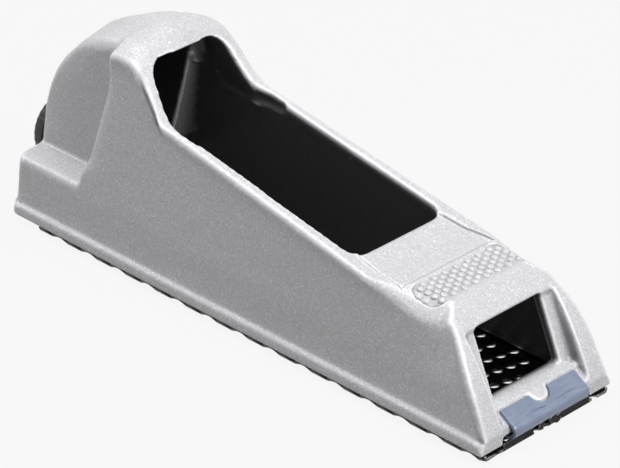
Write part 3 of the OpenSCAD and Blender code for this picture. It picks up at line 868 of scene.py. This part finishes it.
class RASP_OT_blade(Operator):
    """Perforated blade: pierced teeth in slanting rows, turned-up edges and an upright tail lip"""

    bl_idname = "rasp.blade"
    bl_label = "Blade"

    def execute(self, context):
        blade = settings().blade
        tan = math.tan(math.radians(blade.slant))
        tail, toe = BLADE_LOW.x, BLADE_HIGH.x
        row_x = toe - FIRST_ROW
        middle_z = SHEET_Z0 + blade.sheet / 2
        tooth, plain = bmesh.new(), bmesh.new()
        tooth_cell(tooth, blade)
        plain.faces.new([plain.verts.new(p) for p in cell_outline()])
        tooth_mesh, plain_mesh = (mesh_from(m, "cell", 1) for m in (tooth, plain))
        bm = bmesh.new()
        rows = int((toe - tail) / blade.row_pitch) + 4
        half = (COLUMNS + 0.5) * blade.hole_pitch
        for i in range(-3, rows):
            # Every second row is shifted by half a hole
            shift = 0.5 * (i % 2)
            for j in range(-COLUMNS, COLUMNS + 1 + i % 2):
                y = (j - shift) * blade.hole_pitch
                x = row_x - (i - 0.5) * blade.row_pitch + y * tan
                if x < tail - 3 or x > toe + 3:
                    continue
                whole = abs(y) < half - blade.hole_pitch / 2 + 0.01
                old = len(bm.verts)
                bm.from_mesh(tooth_mesh if x > tail + PLAIN_TAIL and whole else plain_mesh)
                bm.verts.ensure_lookup_table()
                for v in bm.verts[old:]:
                    v.co.x += x + v.co.y * tan
                    v.co.y += y
        bmesh.ops.remove_doubles(bm, verts=bm.verts, dist=0.02)
        for x, y, way in (
            (tail, 0, (-1, 0, 0)), (toe, 0, (1, 0, 0)), (0, -half, (0, -1, 0)), (0, half, (0, 1, 0))
        ):
            sheet = bm.verts[:] + bm.edges[:] + bm.faces[:]
            bmesh.ops.bisect_plane(bm, geom=sheet, plane_co=(x, y, 0), plane_no=way, clear_outer=True)
        bmesh.ops.recalc_face_normals(bm, faces=bm.faces)
        out = BLADE_HIGH.y - blade.sheet / 2 - half - 0.25
        rise = SKIRT_Z - middle_z - 0.55
        for side in (-1, 1):
            rim = open_edges(bm, lambda p: abs(p.y * side - half) < 0.05)
            moves = ((0, side * out, 0), (0, side * 0.2, 0.3), (0, side * 0.05, rise))
            drawn_edge(bm, rim, moves, 0)
        # Half teeth at the ends of the rows leave the blade's edges scalloped
        for p in (v.co for v in bm.verts):
            outer = smooth((abs(p.y) - half + 0.6) / 0.6)
            wave = math.cos(math.tau * (p.x - row_x - p.y * tan) / blade.row_pitch)
            p.z -= blade.tooth * outer * smooth(0.35 + 0.65 * wave) * (1 - smooth(p.z / 0.8))
        for x, lip_half, moves in (
            (tail, LIP_HALF, ((0.35, 0, 0.12), (0, 0, 0.35), (0, 0, BLADE_HIGH.z - middle_z - 0.47))),
            (toe, TOE_LIP_HALF, ((-0.3, 0, 0.1), (0, 0, 0.3), (0, 0, TOE_LIP_TOP - middle_z - 0.4))),
        ):
            lip = open_edges(bm, lambda p: abs(p.x - x) < 1e-3 and abs(p.y) < lip_half)
            drawn_edge(bm, lip, moves, 1)
        bmesh.ops.translate(bm, verts=bm.verts, vec=(0, 0, middle_z))
        bmesh.ops.recalc_face_normals(bm, faces=bm.faces)
        for side in (-1, 1):
            made = bmesh.ops.create_grid(bm, x_segments=1, y_segments=3, size=1)["verts"]
            turn = Matrix.Rotation(math.pi / 2, 4, "Y")
            shape = Matrix.Diagonal((1, TONGUE_W / 2, (TONGUE_TOP - SHEET_Z0) / 2, 1))
            place = Matrix.Translation((TONGUE_X, side * TONGUE_Y, (TONGUE_TOP + SHEET_Z0) / 2))
            bmesh.ops.transform(bm, matrix=place @ shape @ turn, verts=made)
        steels = [metal("oil_blacked_steel"), metal("rubbed_cut_steel")]
        piece = new_piece("pierced_blade", bm, steels)
        thickness = blade.sheet * MM
        modify(piece, "Sheet", "SOLIDIFY", thickness=thickness, offset=0, material_offset_rim=1)
        shade(piece, 50)
        rides(piece, "casting", "black_blade", "blade")
        return {"FINISHED"}


# Bed of the clip: the sill's upper corner and its slope
SILL_X = TOE_X - 4
SILL_Z = WINDOW_LOW - 1.5
SILL_SLOPE = math.atan2(1.9, 3.2)

# The clip: its flat part, the creases from side to side, and rows of its mesh
CLIP_FLAT = 3.72
CREASES = ((-7.8, -0.8), (2.6, 9.5))
FLAT_ROWS, BEND_ROWS = 12, 28


class RASP_OT_toe_clip(Operator):
    """Spring clip bent over the sill, with a notch round the stud and two pressed creases"""

    bl_idname = "rasp.toe_clip"
    bl_label = "Toe clip"

    def execute(self, context):
        clip = settings().clip
        sin, cos = math.sin(SILL_SLOPE), math.cos(SILL_SLOPE)
        lift = clip.plate / 2 + 0.05
        start = Vector((SILL_X + 0.1 + sin * lift, SILL_Z - 0.05 + cos * lift))
        along = Vector((cos, -sin))
        corner = start + along * CLIP_FLAT
        nose = CLIP_HIGH.x - clip.plate / 2
        low = CLIP_LOW.z + clip.plate / 2
        mid = (corner.y + low) / 2
        # From the end of the flat part down the nose and back under the sill
        bend = [corner] + [
            Vector(point)
            for point in (
                (nose - 0.4, corner.y - 0.7), (nose - 0.05, mid + 0.3), (nose - 0.05, mid - 0.3),
                (nose - 0.45, low + 0.6), (nose - 1.1, low + 0.1), (nose - 2.0, low), (CLIP_LOW.x, low),
            )
        ]
        half = CLIP_HIGH.y
        sides = [half - (half - clip.notch_r) * (1 - k / 9) for k in range(10)]
        columns = [-side for side in sides] + sides
        columns += [-clip.notch_r * math.cos(math.pi * k / 16) for k in range(17)]
        bm = bmesh.new()
        grid = []
        for c in sorted({round(c, 4) for c in columns}):
            cut = math.sqrt(max(0, clip.notch_r**2 - c * c))
            line = []
            for r in range(FLAT_ROWS + BEND_ROWS + 1):
                if r <= FLAT_ROWS:
                    p = start + along * (cut + (CLIP_FLAT - cut) * r / FLAT_ROWS)
                else:
                    p = catmull(bend, (r - FLAT_ROWS) / BEND_ROWS * (len(bend) - 1), start)
                line.append(bm.verts.new((p.x, c, p.y)))
            for y0, y1 in CREASES:
                fade = smooth((min(c - y0, y1 - c) + 0.4) / 0.8)
                line[FLAT_ROWS].co -= Vector((sin, 0, cos)) * clip.crease * fade
            grid.append(line)
        for a, b in zip(grid, grid[1:]):
            for corners in zip(a, a[1:], b[1:], b):
                bm.faces.new(corners)
        bmesh.ops.recalc_face_normals(bm, faces=bm.faces)
        piece = new_piece("spring_clip", bm, [metal("plated_spring_steel")])
        piece.data.shade_smooth()
        modify(piece, "Plate", "SOLIDIFY", thickness=clip.plate * MM, offset=0)
        bent = math.radians(50)
        modify(
            piece, "Edges", "BEVEL", width=0.1 * MM, segments=2, limit_method="ANGLE", angle_limit=bent
        )
        rides(piece, "casting", "clip_steel", "toe_clip")
        return {"FINISHED"}


def catmull(points, t, before):
    """A point on a smooth line through the points, for t from 0 to their number less one."""
    i = min(int(t), len(points) - 2)
    u = t - i
    p0 = points[i - 1] if i > 0 else before
    p1, p2 = points[i], points[i + 1]
    p3 = points[i + 2] if i + 2 < len(points) else p2 + (p2 - p1)
    square = 2 * p0 - 5 * p1 + 4 * p2 - p3
    cube = 3 * p1 - p0 - 3 * p2 + p3
    return 0.5 * (2 * p1 + (p2 - p0) * u + square * u * u + cube * u**3)


# Tension screw


THREAD_DEPTH = 0.42
PLAIN_SHANK = 1.6
TURN_STEPS = 32


def turned(bm, outline, steps):
    """Spins an outline of (x, radius) points round the screw's axis."""
    verts = [bm.verts.new((x, 0, AXIS_Z + r)) for x, r in outline]
    edges = [bm.edges.new(pair) for pair in zip(verts, verts[1:])]
    bmesh.ops.spin(
        bm, geom=verts + edges, cent=(0, 0, AXIS_Z), axis=(1, 0, 0), angle=math.tau, steps=steps,
        use_merge=True,
    )
    bmesh.ops.remove_doubles(bm, verts=bm.verts, dist=0.001)
    bmesh.ops.recalc_face_normals(bm, faces=bm.faces)


class RASP_OT_knob(Operator):
    """Black knob with grip flutes round its rim and a dished face"""

    bl_idname = "rasp.knob"
    bl_label = "Knob"

    def execute(self, context):
        flutes = settings().screw.flutes
        r = (KNOB_HIGH.z - KNOB_LOW.z) / 2
        front, back = KNOB_HIGH.x, KNOB_LOW.x
        stub_r = 2.0
        # From the hole in front round the rim to the dished face behind
        outline = [
            (front, stub_r), (front, r - 1.0), (front - 0.12, r - 0.55), (front - 0.45, r - 0.1),
            (front - 0.9, r), (back + 1.5, r), (back + 0.85, r - 0.12), (back + 0.35, r - 0.55),
            (back + 0.05, r - 1.2), (back, r - 1.9), (back + 0.08, r - 2.7), (back + 0.35, r - 3.2),
            (back + 0.68, r - 3.6), (back + 0.8, r - 4.2), (back + 0.8, 1.2), (back + 0.8, 0.0),
        ]
        bm = bmesh.new()
        turned(bm, outline, flutes * 8)
        for v in bm.verts:
            y, z = v.co.y, v.co.z - AXIS_Z
            radius = math.hypot(y, z)
            if radius > r - 1.3:
                wave = 0.5 + 0.5 * math.cos(flutes * math.atan2(z, y))
                depth = 0.12 * wave**2 * smooth((radius - r + 1.3) / 1.0)
                scale = (radius - depth) / radius
                v.co.y, v.co.z = y * scale, AXIS_Z + z * scale
        knob = new_piece("fluted_knob", bm, [moulded_black()])
        shade(knob, 40)
        rides(knob, "screw", "black_plastic", "tension_knob")
        return {"FINISHED"}


class RASP_OT_screw(Operator):
    """Screw with its thread, ring groove and rounded end"""

    bl_idname = "rasp.screw"
    bl_label = "Screw"

    def execute(self, context):
        pitch = settings().screw.thread_pitch
        r = (SCREW_HIGH.z - SCREW_LOW.z) / 2
        back, front = SCREW_LOW.x, SCREW_HIGH.x
        knob_x = KNOB_HIGH.x
        ring_x, ring_end = (corner.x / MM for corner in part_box("retaining_ring"))
        core = r - THREAD_DEPTH
        thread_x = ring_end + PLAIN_SHANK
        groove = r - 0.4
        outline = [
            (back, 0.0), (back, r - 0.6), (back + 0.1, r - 0.5), (knob_x, r - 0.5),
            (knob_x, r - 0.08), (knob_x + 0.08, r), (ring_x - 0.05, r), (ring_x - 0.05, groove),
            (ring_end + 0.05, groove), (ring_end + 0.05, r), (thread_x, r), (thread_x + 0.3, core),
            (front - 0.5, core), (front, core - 0.5), (front, 0.0),
        ]
        bm = bmesh.new()
        turned(bm, outline, 48)
        turns = int((front - 0.6 - thread_x - pitch) / pitch)
        thread = bmesh.new()
        base = pitch * 0.44
        profile = [(-base, core - 0.06), (-0.06, r - 0.02), (0.06, r - 0.02), (base, core - 0.06)]
        verts = [thread.verts.new((thread_x + x, 0, AXIS_Z + radius)) for x, radius in profile]
        face = thread.faces.new(verts)
        bmesh.ops.spin(
            thread, geom=[face] + list(face.edges) + verts, cent=(0, 0, AXIS_Z), axis=(1, 0, 0),
            dvec=(pitch / TURN_STEPS, 0, 0), angle=math.tau * turns, steps=TURN_STEPS * turns,
        )
        bmesh.ops.recalc_face_normals(thread, faces=thread.faces)
        bm.from_mesh(mesh_from(thread, "thread", 1))
        piece = new_piece("threaded_screw", bm, [metal("bright_zinc_plate")])
        shade(piece, 35)
        rides(piece, "screw", "zinc_steel", "tension_screw")
        return {"FINISHED"}


class RASP_OT_small_parts(Operator):
    """Washer, ring, hook and nut with broken edges"""

    bl_idname = "rasp.small_parts"
    bl_label = "Washer, ring, hook and nut"

    def execute(self, context):
        for node, body, slot, finish, width in (
            ("thrust_washer", "casting", "zinc_steel", "bright_zinc_plate", 0.06),
            ("retaining_ring", "screw", "spring_steel", "phosphated_spring_steel", 0.08),
            ("tension_hook", "hook", "zinc_steel", "bright_zinc_plate", 0.25),
            ("square_nut", "hook", "zinc_steel", "bright_zinc_plate", 0.35),
        ):
            bm = merged_copy(node)
            flat = math.radians(2)
            bmesh.ops.dissolve_limit(bm, angle_limit=flat, verts=bm.verts, edges=bm.edges)
            sharp = [e for e in bm.edges if e.is_manifold and e.calc_face_angle() > math.radians(40)]
            bmesh.ops.bevel(
                bm, geom=sharp, offset=width, segments=2, profile=0.5, affect="EDGES", material=-1,
                clamp_overlap=True,
            )
            piece = new_piece(node + "_finished", mesh_from(bm, node), [metal(finish)])
            shade(piece, 30)
            rides(piece, body, slot, node)
        return {"FINISHED"}


# Stage


def looked_at(tree):
    """1 for rays that show the background, straight, mirrored or through glass, and 0 for the rest."""
    path = add_node(tree, "ShaderNodeLightPath")
    seen = path.outputs["Is Camera Ray"]
    for name in ("Is Glossy Ray", "Is Transmission Ray"):
        inputs = {0: seen, 1: path.outputs[name]}
        seen = add_node(tree, "ShaderNodeMath", inputs, operation="MAXIMUM").outputs[0]
    return seen


class RASP_OT_stage(Operator):
    """Pale floor, soft lights, white background and the camera"""

    bl_idname = "rasp.stage"
    bl_label = "Stage"

    def execute(self, context):
        stage = settings().stage
        bm = bmesh.new()
        bmesh.ops.create_grid(bm, x_segments=2, y_segments=2, size=3.0)
        floor = new_piece("floor", mesh_from(bm, "floor", 1))
        material = bpy.data.materials.new("pale_paper")
        tree = cleared(material)
        place = add_node(tree, "ShaderNodeTexCoord").outputs["Object"]
        inputs = {"Scale": 900.0, "Detail": 2.0, "Vector": place}
        fibre = add_node(tree, "ShaderNodeTexNoise", inputs)
        stops = [(0.2, grey(0.28)), (0.8, grey(0.31))]
        tone = add_node(tree, "ShaderNodeValToRGB", {"Fac": fibre.outputs["Fac"]}, stops)
        diffuse = add_node(tree, "ShaderNodeBsdfDiffuse", {"Color": tone.outputs[0]})
        glow = add_node(tree, "ShaderNodeEmission", {"Color": grey(1.0), "Strength": 1.0})
        # A tenth of the floor stays plain to the camera, so that it keeps the tool's shadow
        share = add_node(tree, "ShaderNodeMath", {0: looked_at(tree), 1: 0.9}, operation="MULTIPLY")
        inputs = {0: share.outputs[0], 1: diffuse.outputs[0], 2: glow.outputs[0]}
        mixed = add_node(tree, "ShaderNodeMixShader", inputs)
        add_node(tree, "ShaderNodeOutputMaterial", {"Surface": mixed.outputs[0]})
        floor.data.materials.append(material)
        floor.location = (0, 0, -0.0002)

        context.scene.world = bpy.data.worlds.new("studio")
        tree = cleared(context.scene.world)
        inputs = {"To Min": stage.fill, "To Max": 1.0, "Value": looked_at(tree)}
        strength = add_node(tree, "ShaderNodeMapRange", inputs)
        inputs = {"Color": grey(1.0), "Strength": strength.outputs[0]}
        sky = add_node(tree, "ShaderNodeBackground", inputs)
        add_node(tree, "ShaderNodeOutputWorld", {"Surface": sky.outputs[0]})

        # Soft lights: place, point they are turned to, size and strength
        for name, place, aim, size, energy in (
            ("key", (0.0, -0.1, 0.95), (0, 0, 0), (0.8, 0.5), stage.key),
            ("toe_side", (0.8, 0.16, 0.6), (0.03, 0, 0.02), (0.4, 0.3), stage.toe),
            ("heel_side", (-0.65, -0.08, 0.55), (-0.05, 0, 0.02), (0.4, 0.4), stage.heel),
        ):
            data = bpy.data.lights.new(name, "AREA")
            data.shape = "RECTANGLE"
            data.size, data.size_y = size
            data.energy = energy
            light = bpy.data.objects.new(name, data)
            context.scene.collection.objects.link(light)
            light.location = place
            way = Vector(aim) - Vector(place)
            light.rotation_euler = way.to_track_quat("-Z", "Y").to_euler()

        # The camera's axes and place, in metres
        camera = bpy.data.objects.new("camera", bpy.data.cameras.new("camera"))
        context.scene.collection.objects.link(camera)
        right = Vector((0.71681, 0.69712, 0.01438))
        up = Vector((-0.35477, 0.34688, 0.86822))
        ahead = Vector((-0.60027, 0.62745, -0.49597))
        turn = Matrix((right, up, -ahead)).transposed()
        place = Matrix.Translation((0.53675, -0.55541, 0.45887))
        camera.matrix_world = place @ turn.to_4x4()
        camera.data.lens = 220.5
        camera.data.sensor_width = 36
        camera.data.clip_start, camera.data.clip_end = 0.05, 10
        context.scene.camera = camera
        context.scene.view_settings.view_transform = "Standard"
        return {"FINISHED"}


class RASP_PT_panel(Panel):
    """Buttons that build the pieces, in their order"""

    bl_label = "Rasp plane"
    bl_idname = "RASP_PT_panel"
    bl_space_type = "VIEW_3D"
    bl_region_type = "UI"
    bl_category = "Rasp plane"

    def draw(self, context):
        for operator in OPERATORS:
            self.layout.operator(operator.bl_idname)


OPERATORS = (
    RASP_OT_casting,
    RASP_OT_deck_grip,
    RASP_OT_blade,
    RASP_OT_toe_clip,
    RASP_OT_knob,
    RASP_OT_screw,
    RASP_OT_small_parts,
    RASP_OT_stage,
)
GROUPS = (CastingSettings, BladeSettings, ClipSettings, ScrewSettings, StageSettings, RaspPlaneSettings)
CLASSES = GROUPS + OPERATORS + (RASP_PT_panel,)


def register():
    for cls in CLASSES:
        bpy.utils.register_class(cls)
    bpy.types.Scene.rasp_plane = PointerProperty(type=RaspPlaneSettings)


def unregister():
    del bpy.types.Scene.rasp_plane
    for cls in reversed(CLASSES):
        bpy.utils.unregister_class(cls)


def main():
    register()
    bpy.ops.rasp.casting()
    bpy.ops.rasp.deck_grip()
    bpy.ops.rasp.blade()
    bpy.ops.rasp.toe_clip()
    bpy.ops.rasp.knob()
    bpy.ops.rasp.screw()
    bpy.ops.rasp.small_parts()
    bpy.ops.rasp.stage()


if __name__ == "__main__":
    main()
